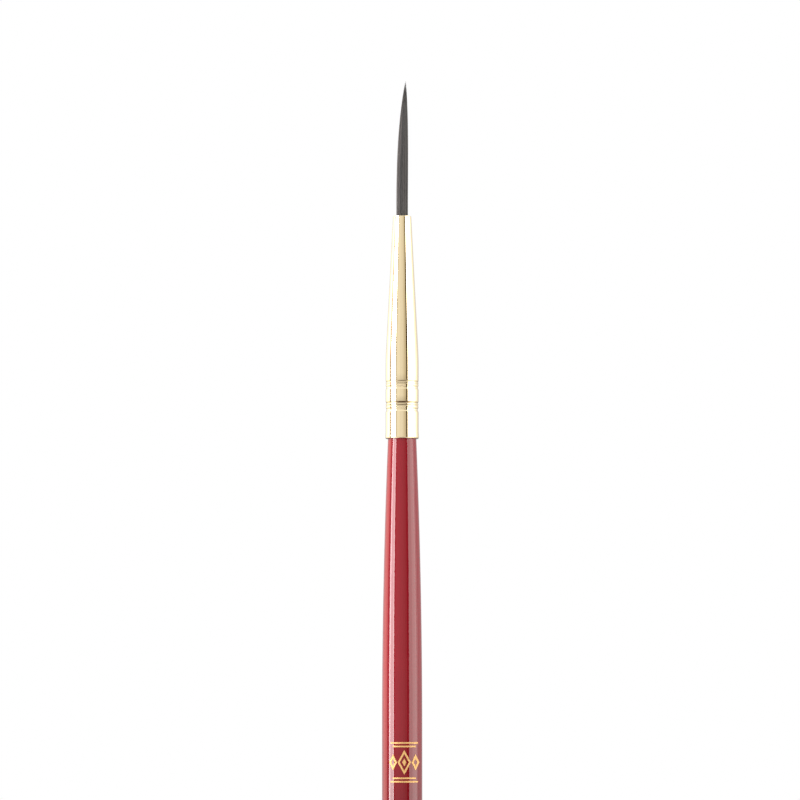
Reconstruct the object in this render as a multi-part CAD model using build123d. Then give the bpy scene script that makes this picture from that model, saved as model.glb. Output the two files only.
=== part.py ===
from build123d import *
import os
from math import radians, tan

# Fine detail brush: a turned wooden handle under a coat of red lacquer, a drawn brass ferrule
# crimped and glued to it, and a long fine point of dark hair set in the ferrule with resin.
#
# Frame: +Z runs along the brush, from the tail end of the handle at z = 0 to the point of the
# hair. X and Y are across it, and the ornament on the handle faces -Y. Millimetres throughout.

# ---------------------------------------------------------------- driving dimensions
HANDLE_LENGTH = 129.0       # tail end to the ferrule's base
FERRULE_LENGTH = 32.1
TUFT_LENGTH = 19.6          # hair that stands out of the ferrule

BELLY_RADIUS = 2.87         # thickest, cylindrical stretch of the handle
BELLY_LOW = 70.0
BELLY_HIGH = 87.5
NECK_RADIUS = 2.03          # handle where it enters the ferrule
TAIL_RADIUS = 1.45          # handle just above its rounded tail end
NOSE_HEIGHT = 2.2
TAIL_SLOPE = 0.03           # growth of the radius per mm just above the tail end
LACQUER = 0.10              # thickness of the lacquer coat
LACQUER_IN_FERRULE = 1.2    # how far the coat runs up inside the ferrule

FERRULE_RADIUS = 2.36       # outside of the cylindrical collar
FERRULE_BORE = 2.06         # inside of the cylindrical collar
COLLAR_HEIGHT = 11.5        # where the collar's line would meet the cone's
COLLAR_BLEND = 1.3          # half length of the blend between collar and cone
MOUTH_RADIUS = 1.30         # outside of the cone, carried on to the mouth's plane
MOUTH_BORE = 0.86
MOUTH_LAND = 0.8            # straight bore just below the mouth
LIP_ROUND = 0.13
FLARE = 0.05                # the base edge stands out by this much
FLARE_HEIGHT = 1.2
BASE_ROUND = 0.2

CRIMP_RIDGE = 0.7           # how far a ridge between two lines comes back out, over the depth
CRIMPS = [                  # lower edge above the ferrule's base, and each line's height and depth
    (3.75, ((0.80, 0.11), (0.38, 0.065), (0.40, 0.085))),
    (6.98, ((0.72, 0.09), (0.30, 0.05), (0.34, 0.065))),
]

TENON_LENGTH = 10.4         # bare end of the handle inside the ferrule
TENON_CHAMFER = 0.5
FIT_GAP = 0.01              # air left between neighbouring pieces of the glued joint
GLUE_LOW = LACQUER_IN_FERRULE + 0.1
GLUE_HIGH = 9.9

TUFT_RADIUS = 0.84          # hair bundle at the mouth
TUFT_TIP_RADIUS = 0.04
TUFT_FULLNESS = 3.4         # exponent of the bundle's profile: higher keeps it full for longer
TUFT_LEAN = 0.50            # sideways offset of the point
TUFT_LEAN_POWER = 2.2
BUTT_RADIUS = 0.98          # hair bundle at its bound lower end
BUTT_DEPTH = 9.0            # how far the hair reaches down into the ferrule
BUTT_TAPER_TOP = 2.0        # below the mouth, where the bundle reaches its full squeeze

THREAD_RADIUS = 0.07
THREAD_TURNS = 4
THREAD_PITCH = 0.16
THREAD_HEIGHT = 0.5         # of the lowest turn above the butt end

RESIN_BELOW = 1.1           # resin under the butt end
RESIN_ABOVE = 5.0           # resin around the hair above the butt end
RESIN_DISH = 0.35           # depth of the hollow that the resin's surface sets to

FLEX_STEPS = 3              # stretches of hair that hinge, one after another
FLEX_DEG = 20.0             # travel of each hinge, each way
FLEX_GAP = 0.04             # air around each hinge's dome
DOME_SHARE = 0.8            # a dome's radius over the bundle's radius there

FOIL = 0.03                 # thickness of the gold foil
FOIL_CENTRE_X = 0.3
FOIL_CENTRE_Z = 82.8
FOIL_RULE = 0.22            # width of the ornament's straight lines

# ---------------------------------------------------------------- heights that follow
FERRULE_BASE = HANDLE_LENGTH
MOUTH = FERRULE_BASE + FERRULE_LENGTH
BUTT = MOUTH - BUTT_DEPTH
POINT = MOUTH + TUFT_LENGTH
BORE_CONE_TOP = FERRULE_LENGTH - MOUTH_LAND
BORE_SLOPE = (FERRULE_BORE - MOUTH_BORE) / (BORE_CONE_TOP - COLLAR_HEIGHT)
CONE_SLOPE = (FERRULE_RADIUS - MOUTH_RADIUS) / (FERRULE_LENGTH - COLLAR_HEIGHT)


def revolved(edges):
    """Turns a closed outline, drawn as (radius, height), about the brush's axis."""
    return revolve(Plane.XZ * make_face(Wire(edges)), axis=Axis.Z)


def crimped_line(radius, low, high):
    """Edges from (radius, low) up to (radius, high), dented at each crimp line.
    Heights are above the ferrule's base."""
    edges = []
    reached = low
    for foot, lines in CRIMPS:
        edges.append(Line((radius, reached), (radius, foot)))
        turns = [(radius, foot)]
        reached = foot
        for i, (height, depth) in enumerate(lines):
            turns.append((radius - depth, reached + height / 2))
            reached += height
            left = (1 - CRIMP_RIDGE) * lines[i + 1][1] if i + 1 < len(lines) else 0
            turns.append((radius - left, reached))
        for start, end in zip(turns, turns[1:]):
            middle = (start[1] + end[1]) / 2
            edges.append(Bezier(start, (start[0], middle), (end[0], middle), end))
    edges.append(Line((radius, reached), (radius, high)))
    return edges


def raised(edges, height):
    """The same edges, moved up."""
    return [Pos(0, height, 0) * edge for edge in edges]


def cone_blend(radius, slope):
    """The curve that turns a collar of this radius into a cone of this slope."""
    low = COLLAR_HEIGHT - COLLAR_BLEND
    high = COLLAR_HEIGHT + COLLAR_BLEND
    end = (radius - slope * COLLAR_BLEND, high)
    return Bezier((radius, low), (radius, COLLAR_HEIGHT), end), end


# ---------------------------------------------------------------- handle
def handle_outline(inset):
    """Edges from the tail end up to the neck, moved inwards by inset."""
    tail = TAIL_RADIUS - inset
    belly = BELLY_RADIUS - inset
    neck = NECK_RADIUS - inset
    nose_pull = 0.55 * (NOSE_HEIGHT - inset)
    nose = Bezier((0, inset), (0.62 * tail, inset),
                  (tail - TAIL_SLOPE * nose_pull, NOSE_HEIGHT - nose_pull), (tail, NOSE_HEIGHT))
    tail_pull = 0.32 * (BELLY_LOW - NOSE_HEIGHT)
    taper = Bezier((tail, NOSE_HEIGHT), (tail + TAIL_SLOPE * tail_pull, NOSE_HEIGHT + tail_pull),
                   (belly, BELLY_LOW - tail_pull), (belly, BELLY_LOW))
    straight = Line((belly, BELLY_LOW), (belly, BELLY_HIGH))
    shoulder = Bezier((belly, BELLY_HIGH), (belly, (BELLY_HIGH + HANDLE_LENGTH) / 2),
                      (neck, HANDLE_LENGTH))
    return [nose, taper, straight, shoulder]


def handle_core():
    """The turned wood, with its tenon dented where the ferrule is crimped."""
    radius = NECK_RADIUS - LACQUER
    tenon = raised(crimped_line(radius, 0, TENON_LENGTH - TENON_CHAMFER), FERRULE_BASE)
    end = FERRULE_BASE + TENON_LENGTH
    chamfer = Line((radius, end - TENON_CHAMFER), (radius - TENON_CHAMFER, end))
    top = Line((radius - TENON_CHAMFER, end), (0, end))
    axis = Line((0, end), (0, LACQUER))
    return revolved([*handle_outline(LACQUER), *tenon, chamfer, top, axis])


def handle_lacquer(core):
    """The coat over the wood, which runs a little way into the ferrule."""
    end = FERRULE_BASE + LACQUER_IN_FERRULE
    sleeve = Line((NECK_RADIUS, FERRULE_BASE), (NECK_RADIUS, end))
    top = Line((NECK_RADIUS, end), (0, end))
    axis = Line((0, end), (0, 0))
    return revolved([*handle_outline(0), sleeve, top, axis]) - core


def lozenge(width, height):
    """A flat diamond about the origin."""
    return make_face(Polyline((width / 2, 0), (0, height / 2), (-width / 2, 0), (0, -height / 2),
                              close=True))


def ornament_shapes():
    """The ornament laid flat, as separate faces about its own centre: a row of lozenges
    between two pairs of rules."""
    shapes = [lozenge(1.9, 3.5) - lozenge(1.3, 2.4), lozenge(0.6, 1.1)]
    for side in (-1, 1):
        shapes.append(Pos(side * 1.6, 0) * (lozenge(1.1, 2.3) - lozenge(0.5, 1.05)))
        for height, width in ((2.25, 3.3), (2.75, 3.9)):
            shapes.append(Pos(0, side * height) * Rectangle(width, FOIL_RULE))
    return shapes


def foil_ornament():
    """Gold foil on the front of the belly, in several separate pieces."""
    skin = Pos(0, 0, BELLY_LOW) * extrude(
        Circle(BELLY_RADIUS + FOIL) - Circle(BELLY_RADIUS), BELLY_HIGH - BELLY_LOW)
    pieces = []
    for shape in ornament_shapes():
        flat = Plane.XZ * (Pos(FOIL_CENTRE_X, FOIL_CENTRE_Z) * shape)
        pieces += (extrude(flat, BELLY_RADIUS + 1) & skin).solids()
    return Compound(pieces)


# ---------------------------------------------------------------- ferrule and its joint
def ferrule():
    """The drawn tube: flared base edge, crimped collar, cone and rounded mouth."""
    outside = FERRULE_RADIUS + FLARE
    flare_middle = (BASE_ROUND + FLARE_HEIGHT) / 2
    edges = [
        Line((FERRULE_BORE, 0), (outside - BASE_ROUND, 0)),
        TangentArc((outside - BASE_ROUND, 0), (outside, BASE_ROUND), tangent=(1, 0)),
        Bezier((outside, BASE_ROUND), (outside, flare_middle), (FERRULE_RADIUS, flare_middle),
               (FERRULE_RADIUS, FLARE_HEIGHT)),
        *crimped_line(FERRULE_RADIUS, FLARE_HEIGHT, COLLAR_HEIGHT - COLLAR_BLEND),
    ]
    blend, cone_low = cone_blend(FERRULE_RADIUS, CONE_SLOPE)
    shoulder = FERRULE_LENGTH - LIP_ROUND
    cone_high = (MOUTH_RADIUS + CONE_SLOPE * LIP_ROUND, shoulder)
    lip_out = (cone_high[0] - LIP_ROUND, FERRULE_LENGTH)
    lip_in = (MOUTH_BORE + LIP_ROUND, FERRULE_LENGTH)
    bore_high = (MOUTH_BORE, shoulder)
    bore_blend, bore_low = cone_blend(FERRULE_BORE, BORE_SLOPE)
    edges += [
        blend,
        Line(cone_low, cone_high),
        Bezier(cone_high, (cone_high[0], FERRULE_LENGTH), lip_out),
        Line(lip_out, lip_in),
        Bezier(lip_in, (MOUTH_BORE, FERRULE_LENGTH), bore_high),
        Line(bore_high, (MOUTH_BORE, BORE_CONE_TOP)),
        Line((MOUTH_BORE, BORE_CONE_TOP), bore_low),
        bore_blend,
        *crimped_line(FERRULE_BORE, 0, COLLAR_HEIGHT - COLLAR_BLEND),
    ]
    return Pos(0, 0, FERRULE_BASE) * revolved(edges)


def handle_glue():
    """The film of glue between the tenon and the ferrule."""
    inner = NECK_RADIUS - LACQUER + FIT_GAP
    outer = FERRULE_BORE - FIT_GAP
    low, high = GLUE_LOW, min(GLUE_HIGH, COLLAR_HEIGHT - COLLAR_BLEND)
    edges = [
        *crimped_line(outer, low, high),
        Line((outer, high), (inner, high)),
        *crimped_line(inner, low, high),
        Line((inner, low), (outer, low)),
    ]
    return Pos(0, 0, FERRULE_BASE) * revolved(edges)


# ---------------------------------------------------------------- hair
def tuft_radius(share):
    """Radius of the bundle at a share of its length from the mouth to the point."""
    drop = share ** TUFT_FULLNESS
    return TUFT_RADIUS * (1 - drop) + TUFT_TIP_RADIUS * drop


def tuft_centre(share):
    """The middle of the bundle at a share of its length."""
    return Vector(TUFT_LEAN * share ** TUFT_LEAN_POWER, 0, MOUTH + TUFT_LENGTH * share)


def whole_tuft():
    """The bundle in one piece, from the bound butt to the point."""
    stations = [0, 0.15, 0.3, 0.45, 0.58, 0.7, 0.8, 0.88, 0.95, 1.0]
    free = loft([Pos(tuft_centre(s)) * Circle(tuft_radius(s)) for s in stations])
    squeezed = MOUTH - BUTT_TAPER_TOP
    bound = revolved([
        Line((0, BUTT), (BUTT_RADIUS, BUTT)),
        Line((BUTT_RADIUS, BUTT), (TUFT_RADIUS, squeezed)),
        Line((TUFT_RADIUS, squeezed), (TUFT_RADIUS, MOUTH)),
        Line((TUFT_RADIUS, MOUTH), (0, MOUTH)),
        Line((0, MOUTH), (0, BUTT)),
    ])
    return bound + free


def pivot_share(step):
    """Where along the bundle a hinge lies: in the middle of each flexing stretch."""
    return (step + 0.5) / FLEX_STEPS


def slab(low, high):
    """Everything of the brush between two heights."""
    width = 4 * BELLY_RADIUS
    return Pos(0, 0, (low + high) / 2) * Box(width, width, high - low)


def tuft_stretches():
    """The bundle cut at its hinges: each stretch ends in a dome that the next one's hollow
    foot turns on."""
    tuft = whole_tuft()
    stretches = []
    for step in range(FLEX_STEPS + 1):
        low = BUTT - 1
        high = POINT + 1
        if step > 0:
            share = pivot_share(step - 1)
            foot = tuft_centre(share)
            skirt = tuft_radius(share) * tan(radians(FLEX_DEG)) + FLEX_GAP / 2
            low = foot.Z + skirt
        if step < FLEX_STEPS:
            share = pivot_share(step)
            head = tuft_centre(share)
            high = head.Z
        keep = slab(low, high)
        if step < FLEX_STEPS:
            keep += Pos(head) * Sphere(DOME_SHARE * tuft_radius(share))
        stretch = tuft & keep
        if step > 0:
            stretch -= Pos(foot) * Sphere(DOME_SHARE * tuft_radius(pivot_share(step - 1)) + FLEX_GAP)
        stretches.append(stretch)
    return stretches


def bound_radius(height):
    """Radius of the hair at a height above its bound end, below the full squeeze."""
    return BUTT_RADIUS - (BUTT_RADIUS - TUFT_RADIUS) * height / (BUTT_DEPTH - BUTT_TAPER_TOP)


def binding_thread():
    """Turns of thread round the bound end of the hair."""
    turns = []
    for i in range(THREAD_TURNS):
        height = THREAD_HEIGHT + i * THREAD_PITCH
        radius = bound_radius(height) + THREAD_RADIUS + FIT_GAP / 2
        turns.append(Pos(0, 0, BUTT + height) * Torus(radius, THREAD_RADIUS))
    return Compound(turns)


def epoxy_plug():
    """The resin that holds the bound hair in the ferrule's cone. Its hollow fits the hair,
    with a wider ring where the thread is."""
    low = BUTT - RESIN_BELOW
    high = BUTT + RESIN_ABOVE
    thread_low = THREAD_HEIGHT - THREAD_RADIUS - FIT_GAP
    thread_high = thread_low + (THREAD_TURNS - 1) * THREAD_PITCH + 2 * (THREAD_RADIUS + FIT_GAP)
    ring = bound_radius(THREAD_HEIGHT) + 2 * THREAD_RADIUS + 2 * FIT_GAP

    def wall(height):
        above = height - FERRULE_BASE - COLLAR_HEIGHT
        return FERRULE_BORE - BORE_SLOPE * above - FIT_GAP

    def hollow(height):
        return bound_radius(height) + FIT_GAP

    corners = [
        (wall(low), low),
        (wall(high), high),
        (hollow(RESIN_ABOVE), high),
        (hollow(thread_high), BUTT + thread_high),
        (ring, BUTT + thread_high),
        (ring, BUTT + thread_low),
        (hollow(thread_low), BUTT + thread_low),
        (hollow(0), BUTT - FIT_GAP),
        (0, BUTT - FIT_GAP),
        (0, low + RESIN_DISH),
    ]
    sides = [Line(a, b) for a, b in zip(corners, corners[1:])]
    dish = ThreePointArc(corners[-1], (wall(low) * 0.55, low + RESIN_DISH * 0.7), corners[0])
    return revolved([*sides, dish])


# ---------------------------------------------------------------- write the parts
def main():
    os.makedirs("parts", exist_ok=True)
    core = handle_core()
    root, lower, middle, point = tuft_stretches()
    nodes = {
        "handle_core": core,
        "handle_lacquer": handle_lacquer(core),
        "foil_ornament": foil_ornament(),
        "ferrule": ferrule(),
        "handle_glue": handle_glue(),
        "epoxy_plug": epoxy_plug(),
        "binding_thread": binding_thread(),
        "tuft_root": root,
        "tuft_lower": lower,
        "tuft_middle": middle,
        "tuft_point": point,
    }
    for name, shape in nodes.items():
        export_step(shape, f"parts/{name}.step")
        solids = shape.solids()
        print(name, len(solids), "solids", round(sum(s.volume for s in solids), 2), "mm3")
    for step in range(FLEX_STEPS):
        print("hinge", step, tuft_centre(pivot_share(step)))


main()
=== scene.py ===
import math
import random

import bmesh
import bpy
import numpy as np
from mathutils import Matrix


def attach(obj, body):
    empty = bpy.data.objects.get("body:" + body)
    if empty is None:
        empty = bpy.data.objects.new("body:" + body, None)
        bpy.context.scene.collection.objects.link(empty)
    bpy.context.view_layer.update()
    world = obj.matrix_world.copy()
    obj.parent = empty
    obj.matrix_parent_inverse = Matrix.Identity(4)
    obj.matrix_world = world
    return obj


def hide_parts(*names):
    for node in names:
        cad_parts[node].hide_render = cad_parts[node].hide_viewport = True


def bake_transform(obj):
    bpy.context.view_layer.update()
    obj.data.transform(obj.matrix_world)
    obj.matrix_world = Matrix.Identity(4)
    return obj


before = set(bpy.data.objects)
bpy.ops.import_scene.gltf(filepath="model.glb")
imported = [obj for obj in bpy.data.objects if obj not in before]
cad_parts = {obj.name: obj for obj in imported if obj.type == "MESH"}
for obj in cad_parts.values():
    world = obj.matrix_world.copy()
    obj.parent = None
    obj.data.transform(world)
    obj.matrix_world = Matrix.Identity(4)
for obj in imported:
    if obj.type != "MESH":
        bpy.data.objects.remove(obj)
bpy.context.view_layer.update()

# Outlines are worked out in millimetres, as (radius, height) about the brush's axis, and turned
# into meshes in metres.
MM = 0.001

# ---------------------------------------------------------------- sizes, as the CAD has them
HANDLE_LENGTH = 129.0
FERRULE_LENGTH = 32.1
TUFT_LENGTH = 19.6
BELLY_RADIUS = 2.87
BELLY_LOW = 70.0
BELLY_HIGH = 87.5
NECK_RADIUS = 2.03
TAIL_RADIUS = 1.45
TAIL_SLOPE = 0.03
NOSE_HEIGHT = 2.2
LACQUER = 0.10
LACQUER_IN_FERRULE = 1.2
FERRULE_RADIUS = 2.36
FERRULE_BORE = 2.06
COLLAR_HEIGHT = 11.5
COLLAR_BLEND = 1.3
MOUTH_RADIUS = 1.30
MOUTH_BORE = 0.86
MOUTH_LAND = 0.8
LIP_ROUND = 0.13
FLARE = 0.05
FLARE_HEIGHT = 1.2
BASE_ROUND = 0.2
CRIMP_RIDGE = 0.7
CRIMPS = [
    (3.75, ((0.80, 0.11), (0.38, 0.065), (0.40, 0.085))),
    (6.98, ((0.72, 0.09), (0.30, 0.05), (0.34, 0.065))),
]
TUFT_RADIUS = 0.84
TUFT_TIP_RADIUS = 0.04
TUFT_FULLNESS = 3.4
TUFT_LEAN = 0.50
TUFT_LEAN_POWER = 2.2
BUTT_RADIUS = 0.98
BUTT_DEPTH = 9.0
BUTT_TAPER_TOP = 2.0
FLEX_STEPS = 3
FOIL = 0.03
FOIL_CENTRE_X = 0.3
FOIL_CENTRE_Z = 82.8
FOIL_RULE = 0.22

FERRULE_BASE = HANDLE_LENGTH
MOUTH = FERRULE_BASE + FERRULE_LENGTH
CONE_SLOPE = (FERRULE_RADIUS - MOUTH_RADIUS) / (FERRULE_LENGTH - COLLAR_HEIGHT)
BORE_CONE_TOP = FERRULE_LENGTH - MOUTH_LAND
BORE_SLOPE = (FERRULE_BORE - MOUTH_BORE) / (BORE_CONE_TOP - COLLAR_HEIGHT)

BASE_LINE = 0.12            # height of the painted shade line along the ferrule's base edge
BASE_PAINTED_SHADE = 0.35         # how dark that painted shade line is
SHADE_LINE_MIDDLE = 0.62       # of the painted shade in a crimp line, as shares of the line's height
SHADE_LINE_HALF = 0.36
SHADE_LINE_DEPTH = 0.085       # a line as deep as this is fully dark
ROUND = 96                  # segments round a turned piece
HAIRS = 420
HAIR_SIDES = 6
HAIR_FILL = 0.95 * math.sqrt(0.80 / HAIRS)  # a hair's radius over the bundle's
HAIR_TAPER = 0.16           # share of the free length over which a hair thins to its end
HAIR_BLUNT = 0.12           # how thin its end is
HAIR_RAGGED = 0.09          # how much shorter some hairs are
HAIR_SWAY = 0.10            # radians


# ---------------------------------------------------------------- camera, lights and floor
VIEW_WIDTH = 114.8 * MM     # what the picture covers at the brush
LENS = 200.0
SENSOR = 36.0
CAMERA_RISE = -4.0          # degrees above the horizon
AIM = (-0.31 * MM, 0, 134.6 * MM)


def add_camera():
    data = bpy.data.cameras.new("camera")
    data.lens = LENS
    data.sensor_width = SENSOR
    data.clip_start = 0.01
    data.clip_end = 20
    camera = bpy.data.objects.new("camera", data)
    bpy.context.scene.collection.objects.link(camera)
    distance = VIEW_WIDTH * LENS / SENSOR
    rise = math.radians(CAMERA_RISE)
    camera.location = (AIM[0], AIM[1] - distance * math.cos(rise),
                       AIM[2] + distance * math.sin(rise))
    camera.rotation_euler = (math.radians(90) - rise, 0, 0)
    bpy.context.scene.camera = camera


def put(tree, kind, inputs=None, **settings):
    """Adds a node. Each input is another node's socket, which is linked, or a value."""
    made = tree.nodes.new(kind)
    for key, value in settings.items():
        setattr(made, key, value)
    for key, value in (inputs or {}).items():
        if isinstance(value, bpy.types.NodeSocket):
            tree.links.new(value, made.inputs[key])
        else:
            made.inputs[key].default_value = value
    return made


def ramp(tree, factor, stops):
    """A colour ramp: stops are (position, colour), and its colour socket is returned."""
    made = put(tree, "ShaderNodeValToRGB", {"Fac": factor})
    elements = made.color_ramp.elements
    while len(elements) < len(stops):
        elements.new(0.5)
    for element, (position, colour) in zip(elements, stops):
        element.position = position
        element.color = (*colour, 1)
    return made.outputs["Color"]


def new_material(name):
    made = bpy.data.materials.new(name)
    made.use_nodes = True
    made.node_tree.nodes.clear()
    return made, made.node_tree


def glow(name, colour, radiance):
    """A light-giving material for a studio card."""
    made, tree = new_material(name)
    shine = put(tree, "ShaderNodeEmission", {"Color": (*colour, 1), "Strength": radiance})
    put(tree, "ShaderNodeOutputMaterial", {"Surface": shine.outputs[0]})
    return made


def mesh_object(name, points, faces, material, smooth=True):
    """An object from points in metres."""
    data = bpy.data.meshes.new(name)
    data.from_pydata([tuple(p) for p in points], [], faces)
    data.polygons.foreach_set("use_smooth", [smooth] * len(data.polygons))
    data.materials.append(material)
    data.update()
    made = bpy.data.objects.new(name, data)
    bpy.context.scene.collection.objects.link(made)
    return made


# Cards: name, from and to in degrees round the brush (0 is towards the camera and right is
# positive), radiance, colour.
CARD_DISTANCE = 1.0
CARD_LOW = -0.05
CARD_HIGH = 0.9
CARD_STEP = 4.0             # degrees from one facet of a card to the next
CARDS = [
    ("back", 152.0, 208.0, 0.6, (1.0, 1.0, 1.0)),
    ("left_edge", -152.0, -128.0, 1.4, (1.0, 1.0, 0.93)),
    ("left_back", -128.0, -97.0, 3.4, (1.0, 0.63, 0.56)),
    ("left_gap", -96.0, -84.0, 0.50, (1.0, 0.95, 0.88)),
    ("left_strip", -80.5, -73.0, 19.0, (1.0, 0.97, 0.98)),
    ("left_box", -73.0, -55.0, 11.0, (1.0, 0.97, 0.98)),
    ("left_rim", -55.0, -49.5, 16.0, (1.0, 0.97, 0.98)),
    ("left_slit", -48.5, -41.0, 0.40, (1.0, 0.9, 0.75)),
    ("front_left", -39.0, -16.0, 0.92, (1.0, 0.98, 0.96)),
    ("front_middle", -16.0, 4.0, 0.85, (1.0, 0.98, 0.95)),
    ("front_right", 4.0, 16.0, 0.76, (1.0, 0.96, 0.89)),
    ("front_end", 16.0, 28.5, 0.60, (1.0, 0.93, 0.80)),
    ("right_gap", 28.5, 39.5, 0.05, (1.0, 0.60, 0.15)),
    ("right_box", 41.0, 62.0, 4.6, (1.0, 0.96, 0.92)),
    ("right_strip", 62.0, 93.0, 5.6, (1.0, 0.97, 0.93)),
    ("right_side", 93.0, 106.0, 2.8, (1.0, 0.98, 0.95)),
    ("right_back", 106.0, 126.0, 1.4, (1.0, 0.98, 0.96)),
    ("right_edge", 126.0, 152.0, 0.90, (1.0, 0.98, 0.96)),
]
FLOOR_CARD_INNER = 0.03
FLOOR_CARD_OUTER = 0.98 * CARD_DISTANCE
FLOOR_CARD_HEIGHT = 0.002   # above the floor
FLOOR_CARDS = [
    ("left_gap", -96.0, -85.0, 0.15, (1.0, 0.95, 0.88)),
    ("left_box", -82.0, -47.0, 2.4, (1.0, 0.98, 0.98)),
    ("right_gap", 28.5, 39.5, 0.05, (1.0, 0.60, 0.15)),
    ("right_box", 40.0, 90.0, 1.8, (1.0, 0.98, 0.96)),
    ("back", 140.0, 220.0, 0.35, (1.0, 1.0, 1.0)),
]

SIDE_LIGHT = 11.0           # radiance
SIDE_LIGHT_TURN = -88.0     # degrees, as for the cards
SIDE_LIGHT_RISE = 52.0
SIDE_LIGHT_DISTANCE = 0.75  # from the middle of the brush
SIDE_LIGHT_HALF = 0.16      # half of its side
SIDE_LIGHT_AIM = (0, 0, 0.12)

FLOOR_RADIUS = 0.85
FLOOR_FADE = 0.4            # radius where the floor begins to fade out
FLOOR_SHADE = 0.34


def stage_card(name, points, faces, colour, radiance):
    card = mesh_object("card_" + name, points, faces, glow("card_" + name, colour, radiance))
    card.visible_camera = False
    return card


def add_card(name, start, end, radiance, colour):
    """An upright curved card on a circle round the brush. It lights the brush and shows in
    its gloss, and the camera doesn't see it."""
    steps = max(2, round((end - start) / CARD_STEP))
    points, faces = [], []
    for i in range(steps + 1):
        turn = math.radians(start + (end - start) * i / steps)
        x, y = CARD_DISTANCE * math.sin(turn), -CARD_DISTANCE * math.cos(turn)
        points += [(x, y, CARD_LOW), (x, y, CARD_HIGH)]
    for i in range(steps):
        faces.append((2 * i, 2 * i + 2, 2 * i + 3, 2 * i + 1))
    stage_card(name, points, faces, colour, radiance)


def add_floor_card(name, start, end, radiance, colour):
    """The same card carried on over the floor, which only shows in gloss."""
    steps = max(2, round((end - start) / CARD_STEP))
    points, faces = [], []
    for i in range(steps + 1):
        turn = math.radians(start + (end - start) * i / steps)
        for reach in (FLOOR_CARD_INNER, FLOOR_CARD_OUTER):
            points.append((reach * math.sin(turn), -reach * math.cos(turn), FLOOR_CARD_HEIGHT))
    for i in range(steps):
        faces.append((2 * i, 2 * i + 1, 2 * i + 3, 2 * i + 2))
    card = stage_card("floor_" + name, points, faces, colour, radiance)
    card.visible_diffuse = False
    card.visible_shadow = False


def add_side_light():
    """A soft light high on the left, out of the mirror line of every upright face."""
    turn, rise = math.radians(SIDE_LIGHT_TURN), math.radians(SIDE_LIGHT_RISE)
    level = math.cos(rise)
    out = np.array([math.sin(turn) * level, -math.cos(turn) * level, math.sin(rise)])
    side = np.cross((0, 0, 1), out)
    side /= np.linalg.norm(side)
    up = np.cross(out, side)
    middle = out * SIDE_LIGHT_DISTANCE + np.array(SIDE_LIGHT_AIM)
    corners = ((-1, -1), (-1, 1), (1, 1), (1, -1))
    points = [middle + SIDE_LIGHT_HALF * (a * side + b * up) for a, b in corners]
    stage_card("side_light", points, [(0, 1, 2, 3)], (1.0, 0.98, 0.96), SIDE_LIGHT)


def floor_material():
    """Pale matt floor that fades out towards its edge."""
    made, tree = new_material("floor")
    place = put(tree, "ShaderNodeTexCoord")
    away = put(tree, "ShaderNodeVectorMath", {0: place.outputs["Object"]}, operation="LENGTH")
    fade = put(tree, "ShaderNodeMapRange",
               {"Value": away.outputs["Value"], "From Min": FLOOR_FADE, "From Max": FLOOR_RADIUS},
               interpolation_type="SMOOTHERSTEP")
    matt = put(tree, "ShaderNodeBsdfPrincipled",
               {"Base Color": (*[FLOOR_SHADE] * 3, 1), "Roughness": 0.9, "Specular IOR Level": 0.1})
    clear = put(tree, "ShaderNodeBsdfTransparent")
    mixed = put(tree, "ShaderNodeMixShader",
                {0: fade.outputs["Result"], 1: matt.outputs[0], 2: clear.outputs[0]})
    put(tree, "ShaderNodeOutputMaterial", {"Surface": mixed.outputs[0]})
    return made


def add_floor():
    """A round floor, made of rings so that it can fade."""
    rings, spokes = 12, 64
    points, faces = [(0, 0, 0)], []
    for i in range(1, rings + 1):
        for j in range(spokes):
            turn = 2 * math.pi * j / spokes
            reach = FLOOR_RADIUS * i / rings
            points.append((reach * math.cos(turn), reach * math.sin(turn), 0))
    for j in range(spokes):
        k = (j + 1) % spokes
        faces.append((0, 1 + j, 1 + k))
        for i in range(rings - 1):
            low, high = 1 + i * spokes, 1 + (i + 1) * spokes
            faces.append((low + j, high + j, high + k, low + k))
    mesh_object("floor", points, faces, floor_material())


def add_studio():
    world = bpy.data.worlds.new("studio")
    bpy.context.scene.world = world
    world.use_nodes = True
    world.node_tree.nodes["Background"].inputs["Color"].default_value = (1, 1, 1, 1)
    world.node_tree.nodes["Background"].inputs["Strength"].default_value = 1.0
    bpy.context.scene.view_settings.view_transform = "Standard"
    for card in CARDS:
        add_card(*card)
    for card in FLOOR_CARDS:
        add_floor_card(*card)
    add_side_light()
    add_floor()


# ---------------------------------------------------------------- outlines
def bezier(points, count):
    """Points along a Bezier curve of any degree, its ends included."""
    share = np.linspace(0, 1, count)[:, None]
    layer = [np.tile(np.array(p, float), (count, 1)) for p in points]
    while len(layer) > 1:
        layer = [a * (1 - share) + b * share for a, b in zip(layer, layer[1:])]
    return layer[0]


def straight(start, end, step=1.5):
    """Points along a line, about a step apart."""
    count = max(2, math.ceil(math.dist(start, end) / step) + 1)
    return bezier([start, end], count)


def joined(*stretches):
    """One run of points from stretches that meet end to end."""
    points = [np.atleast_2d(stretches[0])]
    for stretch in stretches[1:]:
        points.append(np.atleast_2d(stretch)[1:])
    return np.concatenate(points)


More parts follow.
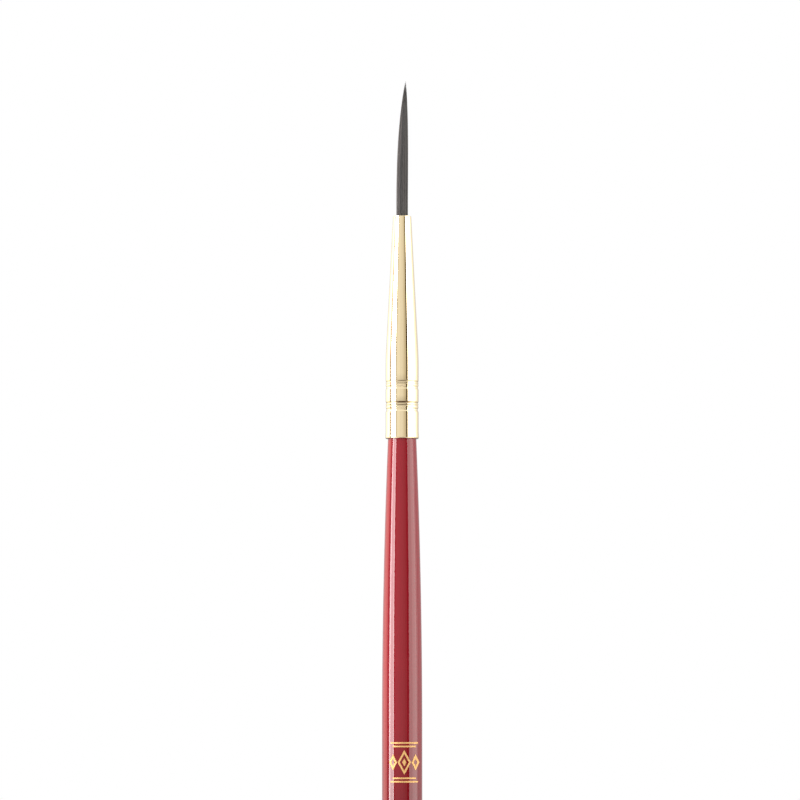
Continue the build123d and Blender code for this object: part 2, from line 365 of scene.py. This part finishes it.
def handle_outline(inset):
    """From the tail end up to the neck, moved inwards by inset."""
    tail, belly, neck = TAIL_RADIUS - inset, BELLY_RADIUS - inset, NECK_RADIUS - inset
    nose_pull = 0.55 * (NOSE_HEIGHT - inset)
    tail_pull = 0.32 * (BELLY_LOW - NOSE_HEIGHT)
    return joined(
        bezier([(0, inset), (0.62 * tail, inset),
                (tail - TAIL_SLOPE * nose_pull, NOSE_HEIGHT - nose_pull), (tail, NOSE_HEIGHT)], 16),
        bezier([(tail, NOSE_HEIGHT), (tail + TAIL_SLOPE * tail_pull, NOSE_HEIGHT + tail_pull),
                (belly, BELLY_LOW - tail_pull), (belly, BELLY_LOW)], 60),
        straight((belly, BELLY_LOW), (belly, BELLY_HIGH), 2),
        bezier([(belly, BELLY_HIGH), (belly, (BELLY_HIGH + HANDLE_LENGTH) / 2),
                (neck, HANDLE_LENGTH)], 48),
    )


def crimped_line(radius, low, high):
    """From (radius, low) up to (radius, high), dented at each crimp line."""
    stretches = []
    reached = low
    for foot, lines in CRIMPS:
        stretches.append(straight((radius, reached), (radius, foot)))
        turns = [(radius, foot)]
        reached = foot
        for i, (height, depth) in enumerate(lines):
            turns.append((radius - depth, reached + height / 2))
            reached += height
            left = (1 - CRIMP_RIDGE) * lines[i + 1][1] if i + 1 < len(lines) else 0
            turns.append((radius - left, reached))
        for start, end in zip(turns, turns[1:]):
            middle = (start[1] + end[1]) / 2
            stretches.append(bezier([start, (start[0], middle), (end[0], middle), end], 9))
    stretches.append(straight((radius, reached), (radius, high)))
    return joined(*stretches)


def cone_blend(radius, slope):
    """The curve that turns a collar of this radius into a cone of this slope, and its end."""
    end = (radius - slope * COLLAR_BLEND, COLLAR_HEIGHT + COLLAR_BLEND)
    low = (radius, COLLAR_HEIGHT - COLLAR_BLEND)
    return bezier([low, (radius, COLLAR_HEIGHT), end], 14), end


def lathe(name, outline, material):
    """A closed mesh from turning an outline about the brush's axis. An outline that starts
    and ends on the axis is a shell with poles, and any other is closed into a ring."""
    outline = np.array(outline)
    on_axis = outline[0][0] < 1e-9
    rings = outline[1:-1] if on_axis else outline
    turn = np.linspace(0, 2 * math.pi, ROUND, endpoint=False)
    circle = np.stack([np.sin(turn), -np.cos(turn)], axis=1)
    points = [(*(circle[j] * r * MM), z * MM) for r, z in rings for j in range(ROUND)]
    faces = []
    count = len(rings)
    for i in range(count - 1 if on_axis else count):
        low, high = i * ROUND, (i + 1) % count * ROUND
        for j in range(ROUND):
            k = (j + 1) % ROUND
            faces.append((low + j, low + k, high + k, high + j))
    if on_axis:
        first, last = len(points), len(points) + 1
        points += [(0, 0, outline[0][1] * MM), (0, 0, outline[-1][1] * MM)]
        top = (count - 1) * ROUND
        for j in range(ROUND):
            k = (j + 1) % ROUND
            faces.append((first, k, j))
            faces.append((last, top + j, top + k))
    made = mesh_object(name, points, faces, material)
    made.data.set_sharp_from_angle(angle=math.radians(40))
    return made


# ---------------------------------------------------------------- materials
def position(tree, scale):
    """The place on the piece, in metres times a scale for each axis."""
    place = put(tree, "ShaderNodeTexCoord")
    scaled = put(tree, "ShaderNodeMapping", {"Vector": place.outputs["Object"], "Scale": scale})
    return scaled.outputs[0]


def noise(tree, scale, detail=3.0, roughness=0.55):
    """Noise over the piece, where scale is in features per metre for each axis."""
    made = put(tree, "ShaderNodeTexNoise", {"Vector": position(tree, scale), "Scale": 1.0,
                                            "Detail": detail, "Roughness": roughness})
    return made.outputs["Fac"]


def bump(tree, height, depth, normal=None):
    """A bump of a depth in metres."""
    inputs = {"Height": height, "Strength": 1.0, "Distance": depth}
    if normal:
        inputs["Normal"] = normal
    return put(tree, "ShaderNodeBump", inputs).outputs[0]


def spread(tree, value, low, high):
    """A 0 to 1 value, spread from low to high."""
    made = put(tree, "ShaderNodeMapRange", {"Value": value, "To Min": low, "To Max": high})
    return made.outputs["Result"]


def shader(tree, **inputs):
    """The Principled shader and its output. Names are the sockets', with _ for a space."""
    named = {key.replace("_", " "): value for key, value in inputs.items()}
    made = put(tree, "ShaderNodeBsdfPrincipled", named)
    put(tree, "ShaderNodeOutputMaterial", {"Surface": made.outputs[0]})


def lacquer_material():
    """Deep red gloss with the slight waviness of a dipped coat, and painted shade that darkens it
    towards the bottom.
    """
    made, tree = new_material("red_lacquer")
    cloud = noise(tree, (90, 90, 40), 2)
    height = put(tree, "ShaderNodeSeparateXYZ", {"Vector": position(tree, (1, 1, 1))}).outputs["Z"]
    # Painted shade: from the belly up to the ferrule the red gets lighter, and below the belly it
    # stays at its darkest; added to the random cloud.
    painted_height_shade = put(tree, "ShaderNodeMapRange",
                {"Value": height, "From Min": BELLY_LOW * MM, "From Max": 130 * MM}).outputs[0]
    shade = put(tree, "ShaderNodeMath", {0: cloud, 1: painted_height_shade}, operation="ADD").outputs[0]
    colour = ramp(tree, shade, [(0.4, (0.098, 0.0020, 0.0050)), (1.0, (0.172, 0.0042, 0.0098))])
    wave = noise(tree, (420, 420, 330), 1.5, 0.4)
    grain = noise(tree, (2600, 2600, 700), 2)
    normal = bump(tree, grain, 0.0000006, bump(tree, wave, 0.000018))
    shader(tree, Base_Color=colour, Roughness=spread(tree, grain, 0.03, 0.06), IOR=1.46, Normal=normal)
    return made


def ferrule_material():
    """Polished pale gold, with faint lines from drawing, and painted shade where the per-point shade
    attribute says: darker colour and a little rougher.
    """
    made, tree = new_material("ferrule_brass")
    drawn = noise(tree, (5200, 5200, 90), 3)
    ripple = noise(tree, (520, 520, 420), 1.5)
    bright = ramp(tree, drawn, [(0.25, (0.93, 0.77, 0.48)), (0.75, (0.98, 0.83, 0.55))])
    painted_shade = put(tree, "ShaderNodeAttribute", attribute_name="painted_shade").outputs["Fac"]
    # Painted shade: the metal goes dark brown where the per-point shade attribute is high.
    colour = put(tree, "ShaderNodeMix", {0: painted_shade, 6: bright, 7: (0.075, 0.026, 0.004, 1)},
                 data_type="RGBA").outputs[2]
    normal = bump(tree, drawn, 0.0000004, bump(tree, ripple, 0.0000025))
    dull = put(tree, "ShaderNodeMath", {0: painted_shade, 1: 0.3}, operation="MULTIPLY").outputs[0]
    rough = put(tree, "ShaderNodeMath", {0: spread(tree, drawn, 0.035, 0.065), 1: dull},
                operation="ADD").outputs[0]
    shader(tree, Base_Color=colour, Metallic=1.0, Roughness=rough, Normal=normal)
    return made


def foil_material():
    """Stamped gold foil, broken here and there by the grain of the lacquer below."""
    made, tree = new_material("gold_foil")
    speck = noise(tree, (9000, 9000, 9000), 3)
    colour = ramp(tree, speck, [(0.30, (0.34, 0.14, 0.04)), (0.40, (0.56, 0.36, 0.15)),
                                (0.75, (0.66, 0.45, 0.20))])
    normal = bump(tree, speck, 0.000003)
    shader(tree, Base_Color=colour, Metallic=1.0, Roughness=spread(tree, speck, 0.62, 0.78),
           Normal=normal)
    return made


def hair_material():
    """Dark fibres, each a little lighter or darker than the next."""
    made, tree = new_material("hair")
    tint = put(tree, "ShaderNodeAttribute", attribute_name="tint").outputs["Fac"]
    colour = ramp(tree, tint, [(0.0, (0.011, 0.0098, 0.0092)), (0.5, (0.037, 0.034, 0.032)),
                               (1.0, (0.080, 0.073, 0.069))])
    shader(tree, Base_Color=colour, Roughness=spread(tree, tint, 0.36, 0.5), IOR=1.5)
    return made


def wood_material():
    """Pale close-grained wood."""
    made, tree = new_material("handle_wood")
    grain = noise(tree, (900, 900, 30), 4, 0.6)
    colour = ramp(tree, grain, [(0.3, (0.36, 0.22, 0.11)), (0.55, (0.56, 0.39, 0.22)),
                                (0.8, (0.66, 0.49, 0.30))])
    shader(tree, Base_Color=colour, Roughness=spread(tree, grain, 0.55, 0.8),
           Normal=bump(tree, grain, 0.00002))
    return made


def glue_material():
    """Set glue with small bubbles and rubbed lumps."""
    made, tree = new_material("glue")
    lumps = noise(tree, (1500, 1500, 1500), 3)
    colour = ramp(tree, lumps, [(0.3, (0.52, 0.40, 0.20)), (0.7, (0.74, 0.63, 0.42))])
    shader(tree, Base_Color=colour, Roughness=spread(tree, lumps, 0.3, 0.6),
           Normal=bump(tree, lumps, 0.00003))
    return made


def resin_material():
    """Amber resin, darker where it is thick."""
    made, tree = new_material("resin")
    cloud = noise(tree, (800, 800, 500), 2)
    colour = ramp(tree, cloud, [(0.3, (0.22, 0.10, 0.02)), (0.7, (0.48, 0.27, 0.08))])
    shader(tree, Base_Color=colour, Roughness=spread(tree, cloud, 0.08, 0.2),
           Normal=bump(tree, cloud, 0.00001))
    return made


def thread_material():
    """Undyed twisted thread."""
    made, tree = new_material("thread")
    ply = noise(tree, (6000, 6000, 9000), 2)
    colour = ramp(tree, ply, [(0.3, (0.50, 0.45, 0.36)), (0.7, (0.82, 0.78, 0.68))])
    shader(tree, Base_Color=colour, Roughness=spread(tree, ply, 0.7, 0.9),
           Normal=bump(tree, ply, 0.00002))
    return made


# ---------------------------------------------------------------- handle and ferrule
def add_lacquer(material):
    top = FERRULE_BASE + LACQUER_IN_FERRULE
    core = NECK_RADIUS - LACQUER
    outline = joined(
        handle_outline(0),
        straight((NECK_RADIUS, FERRULE_BASE), (NECK_RADIUS, top)),
        straight((NECK_RADIUS, top), (core, top)),
        straight((core, top), (core, FERRULE_BASE)),
        handle_outline(LACQUER)[::-1],
    )
    coat = lathe("lacquer_coat", outline, material)
    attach(coat, "brush")
    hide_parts("handle_lacquer")


def painted_shade_at(x, y, height):
    """How much painted shade darkens the metal at a place on the ferrule, its height being above the
    base:
    in the narrow crimp lines, more in the deeper ones, and along the base edge. In the crimp lines
    the painted shade is full where the surface faces along y, towards and away from the camera,
    and fades to nothing at the two sides."""
    dark = 0
    for foot, lines in CRIMPS:
        reached = foot + lines[0][0]
        for tall, depth in lines[1:]:
            off = (height - reached - SHADE_LINE_MIDDLE * tall) / (SHADE_LINE_HALF * tall)
            dark = max(dark, math.exp(-off ** 4) * (depth / SHADE_LINE_DEPTH) ** 1.5)
            reached += tall
    # Painted shade in the crimp lines: full front and back (y), nothing at the two sides (x).
    dark *= y * y / (x * x + y * y)
    # Painted shade line along the base edge.
    return max(dark, BASE_PAINTED_SHADE * math.exp(-(height / BASE_LINE) ** 2))


def add_ferrule(material):
    outside = FERRULE_RADIUS + FLARE
    flare_middle = (BASE_ROUND + FLARE_HEIGHT) / 2
    blend, cone_low = cone_blend(FERRULE_RADIUS, CONE_SLOPE)
    bore_blend, bore_low = cone_blend(FERRULE_BORE, BORE_SLOPE)
    shoulder = FERRULE_LENGTH - LIP_ROUND
    cone_high = (MOUTH_RADIUS + CONE_SLOPE * LIP_ROUND, shoulder)
    lip_out = (cone_high[0] - LIP_ROUND, FERRULE_LENGTH)
    lip_in = (MOUTH_BORE + LIP_ROUND, FERRULE_LENGTH)
    bore_high = (MOUTH_BORE, shoulder)
    round_off = 0.45 * BASE_ROUND
    outline = joined(
        straight((FERRULE_BORE, 0), (outside - BASE_ROUND, 0)),
        bezier([(outside - BASE_ROUND, 0), (outside - round_off, 0), (outside, round_off),
                (outside, BASE_ROUND)], 10),
        bezier([(outside, BASE_ROUND), (outside, flare_middle), (FERRULE_RADIUS, flare_middle),
                (FERRULE_RADIUS, FLARE_HEIGHT)], 10),
        crimped_line(FERRULE_RADIUS, FLARE_HEIGHT, COLLAR_HEIGHT - COLLAR_BLEND),
        blend,
        straight(cone_low, cone_high),
        bezier([cone_high, (cone_high[0], FERRULE_LENGTH), lip_out], 8),
        straight(lip_out, lip_in),
        bezier([lip_in, (MOUTH_BORE, FERRULE_LENGTH), bore_high], 8),
        straight(bore_high, (MOUTH_BORE, BORE_CONE_TOP)),
        straight((MOUTH_BORE, BORE_CONE_TOP), bore_low),
        bore_blend[::-1],
        crimped_line(FERRULE_BORE, 0, COLLAR_HEIGHT - COLLAR_BLEND)[::-1],
    )[:-1]
    outline[:, 1] += FERRULE_BASE
    tube = lathe("ferrule_tube", outline, material)
    # Painted shade, stored on each point for the ferrule's material.
    painted_shade = tube.data.attributes.new("painted_shade", "FLOAT", "POINT")
    painted_shade.data.foreach_set("value", [
        painted_shade_at(v.co.x, v.co.y, v.co.z / MM - FERRULE_BASE) for v in tube.data.vertices])
    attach(tube, "brush")
    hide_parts("ferrule")


# ---------------------------------------------------------------- foil ornament
def patch(corners, along=8, across=2):
    """A flat four-cornered patch of small faces, as (x, z) points and faces."""
    a, b, c, d = (np.array(corner, float) for corner in corners)
    points, faces = [], []
    for i in range(along + 1):
        for j in range(across + 1):
            s, t = i / along, j / across
            points.append((a * (1 - s) + b * s) * (1 - t) + (d * (1 - s) + c * s) * t)
    for i in range(along):
        for j in range(across):
            first = i * (across + 1) + j
            faces.append((first, first + across + 1, first + across + 2, first + 1))
    return points, faces


def lozenge_corners(width, height):
    return [(width / 2, 0), (0, height / 2), (-width / 2, 0), (0, -height / 2)]


def lozenge_frame(width, height, inner_width, inner_height):
    """The four sides of an open lozenge."""
    outer = lozenge_corners(width, height)
    inner = lozenge_corners(inner_width, inner_height)
    sides = []
    for i in range(4):
        k = (i + 1) % 4
        sides.append(patch([outer[i], outer[k], inner[k], inner[i]]))
    return sides


def ornament_pieces():
    """Each piece is a list of patches and the place of its own centre."""
    pieces = [
        (lozenge_frame(1.9, 3.5, 1.3, 2.4), (0, 0)),
        ([patch(lozenge_corners(0.6, 1.1), 4, 4)], (0, 0)),
    ]
    for side in (-1, 1):
        pieces.append((lozenge_frame(1.1, 2.3, 0.5, 1.05), (side * 1.6, 0)))
        for height, width in ((2.25, 3.3), (2.75, 3.9)):
            w, h = width / 2, FOIL_RULE / 2
            rule = patch([(-w, -h), (w, -h), (w, h), (-w, h)], 24, 2)
            pieces.append(([rule], (0, side * height)))
    return pieces


def add_foil(material):
    """Thin raised foil, wrapped onto the belly."""
    shape = bmesh.new()
    for patches, (cx, cz) in ornament_pieces():
        for points, faces in patches:
            made = [shape.verts.new((cx + x, 0, cz + z)) for x, z in points]
            for face in faces:
                shape.faces.new([made[i] for i in face])
    bmesh.ops.remove_doubles(shape, verts=shape.verts, dist=0.002)
    bmesh.ops.recalc_face_normals(shape, faces=shape.faces)
    for face in shape.faces:
        if face.normal.y > 0:
            face.normal_flip()
    raised = bmesh.ops.extrude_face_region(shape, geom=shape.faces[:])
    top = {v for v in raised["geom"] if isinstance(v, bmesh.types.BMVert)}
    under = [face for face in shape.faces if not any(vert in top for vert in face.verts)]
    bmesh.ops.reverse_faces(shape, faces=under)
    for vert in shape.verts:
        x, z = vert.co.x + FOIL_CENTRE_X, vert.co.z + FOIL_CENTRE_Z
        radius = BELLY_RADIUS + (FOIL if vert in top else 0)
        vert.co = (x * MM, -math.sqrt(radius ** 2 - x ** 2) * MM, z * MM)
    bmesh.ops.recalc_face_normals(shape, faces=shape.faces)
    data = bpy.data.meshes.new("foil_stamp")
    shape.to_mesh(data)
    shape.free()
    data.materials.append(material)
    data.polygons.foreach_set("use_smooth", [True] * len(data.polygons))
    data.set_sharp_from_angle(angle=math.radians(40))
    foil = bpy.data.objects.new("foil_stamp", data)
    bpy.context.scene.collection.objects.link(foil)
    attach(foil, "brush")
    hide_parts("foil_ornament")


# ---------------------------------------------------------------- hair
GOLDEN_TURN = math.pi * (3 - math.sqrt(5))


def tuft_radius(share):
    """The bundle's radius at a share of its length, and below the mouth at a negative share."""
    drop = np.clip(share, 0, 1) ** TUFT_FULLNESS
    free = TUFT_RADIUS * (1 - drop) + TUFT_TIP_RADIUS * drop
    depth = np.clip(-share * TUFT_LENGTH - BUTT_TAPER_TOP, 0, None) / (BUTT_DEPTH - BUTT_TAPER_TOP)
    return free + (BUTT_RADIUS - TUFT_RADIUS) * depth


def tuft_lean(share):
    return TUFT_LEAN * np.clip(share, 0, 1) ** TUFT_LEAN_POWER


def hair_stations(part):
    """The heights, as shares of the free length, of the rings along one part of the hairs."""
    low, high = part / FLEX_STEPS, (part + 1) / FLEX_STEPS
    shares = list(np.linspace(low, high, 17))
    if part == 0:
        shares = list(np.linspace(-BUTT_DEPTH / TUFT_LENGTH, 0, 7)[:-1]) + shares
    return np.array(shares)


def make_hairs():
    """What sets each hair apart: its place in the bundle, where it ends, its sway and its tint."""
    chance = random.Random(11)
    hairs = []
    for i in range(HAIRS):
        turn = i * GOLDEN_TURN
        place = math.sqrt((i + 0.5) / HAIRS)
        streak = 0.5 + 0.5 * math.sin(5 * turn + 1.3 * math.sin(3 * turn))
        hairs.append({
            "turn": turn,
            "place": place,
            "end": 1 - HAIR_RAGGED * chance.random() ** 1.5 * (0.15 + place),
            "sway": chance.uniform(-HAIR_SWAY, HAIR_SWAY),
            "phase": chance.uniform(0, 2 * math.pi),
            "tint": 0.45 * chance.random() + 0.35 * streak + 0.1,
        })
    return hairs


def hair_part(name, part, hairs, material):
    """One third of every hair as tapered tubes, closed at both ends."""
    shares = hair_stations(part)
    around = np.linspace(0, 2 * math.pi, HAIR_SIDES, endpoint=False)
    points, faces, caps, tints = [], [], [], []
    for hair in hairs:
        share = shares[shares < hair["end"] - 0.002]
        if len(share) == 0:
            continue
        if len(share) < len(shares):
            share = np.append(share, hair["end"])
        radius, shift = tuft_radius(share), tuft_lean(share)
        tip = np.clip((hair["end"] - share) / HAIR_TAPER, HAIR_BLUNT, 1)
        own = HAIR_FILL * radius * tip
        turn = hair["turn"] + hair["sway"] * np.sin(7 * share + hair["phase"]) * np.clip(share, 0, 1)
        reach = (radius - own) * hair["place"]
        first = len(points)
        for k in range(len(share)):
            x = shift[k] + reach[k] * math.cos(turn[k])
            y = reach[k] * math.sin(turn[k])
            z = MOUTH + TUFT_LENGTH * share[k]
            for a in around:
                px, py = x + own[k] * math.cos(a), y + own[k] * math.sin(a)
                points.append((px * MM, py * MM, z * MM))
            tints += [hair["tint"]] * HAIR_SIDES
        for k in range(len(share) - 1):
            low, high = first + k * HAIR_SIDES, first + (k + 1) * HAIR_SIDES
            for j in range(HAIR_SIDES):
                n = (j + 1) % HAIR_SIDES
                faces.append((low + j, low + n, high + n, high + j))
        caps.append(len(faces))
        faces.append(tuple(first + j for j in reversed(range(HAIR_SIDES))))
        top = first + (len(share) - 1) * HAIR_SIDES
        caps.append(len(faces))
        faces.append(tuple(top + j for j in range(HAIR_SIDES)))
    made = mesh_object(name, points, faces, material)
    tint = made.data.attributes.new("tint", "FLOAT", "POINT")
    tint.data.foreach_set("value", tints)
    sharpen(made.data, caps)
    return made


def sharpen(data, caps):
    """Marks the rims of the end caps sharp, so that a hair's sides shade on across a cut."""
    wanted = set()
    for index in caps:
        wanted.update(data.polygons[index].edge_keys)
    sharp = data.attributes.get("sharp_edge") or data.attributes.new("sharp_edge", "BOOLEAN", "EDGE")
    sharp.data.foreach_set("value", [edge.key in wanted for edge in data.edges])


def add_tuft(material):
    hairs = make_hairs()
    parts = [
        ("hair_low", "brush", "tuft_lower", ("tuft_root", "tuft_lower")),
        ("hair_middle", "tuft_lower", "tuft_middle", ("tuft_middle",)),
        ("hair_point", "tuft_middle", "tuft_point", ("tuft_point",)),
    ]
    for part, (name, below, above, nodes) in enumerate(parts):
        piece = hair_part(name, part, hairs, material)
        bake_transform(piece)
        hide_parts(*nodes)


# ---------------------------------------------------------------- the whole brush
add_camera()
add_studio()
add_lacquer(lacquer_material())
add_ferrule(ferrule_material())
add_foil(foil_material())
add_tuft(hair_material())

HIDDEN_NODES = {
    "handle_core": wood_material(),
    "handle_glue": glue_material(),
    "epoxy_plug": resin_material(),
    "binding_thread": thread_material(),
}
for node, material in HIDDEN_NODES.items():
    for material_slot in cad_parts[node].material_slots:
        material_slot.material = material
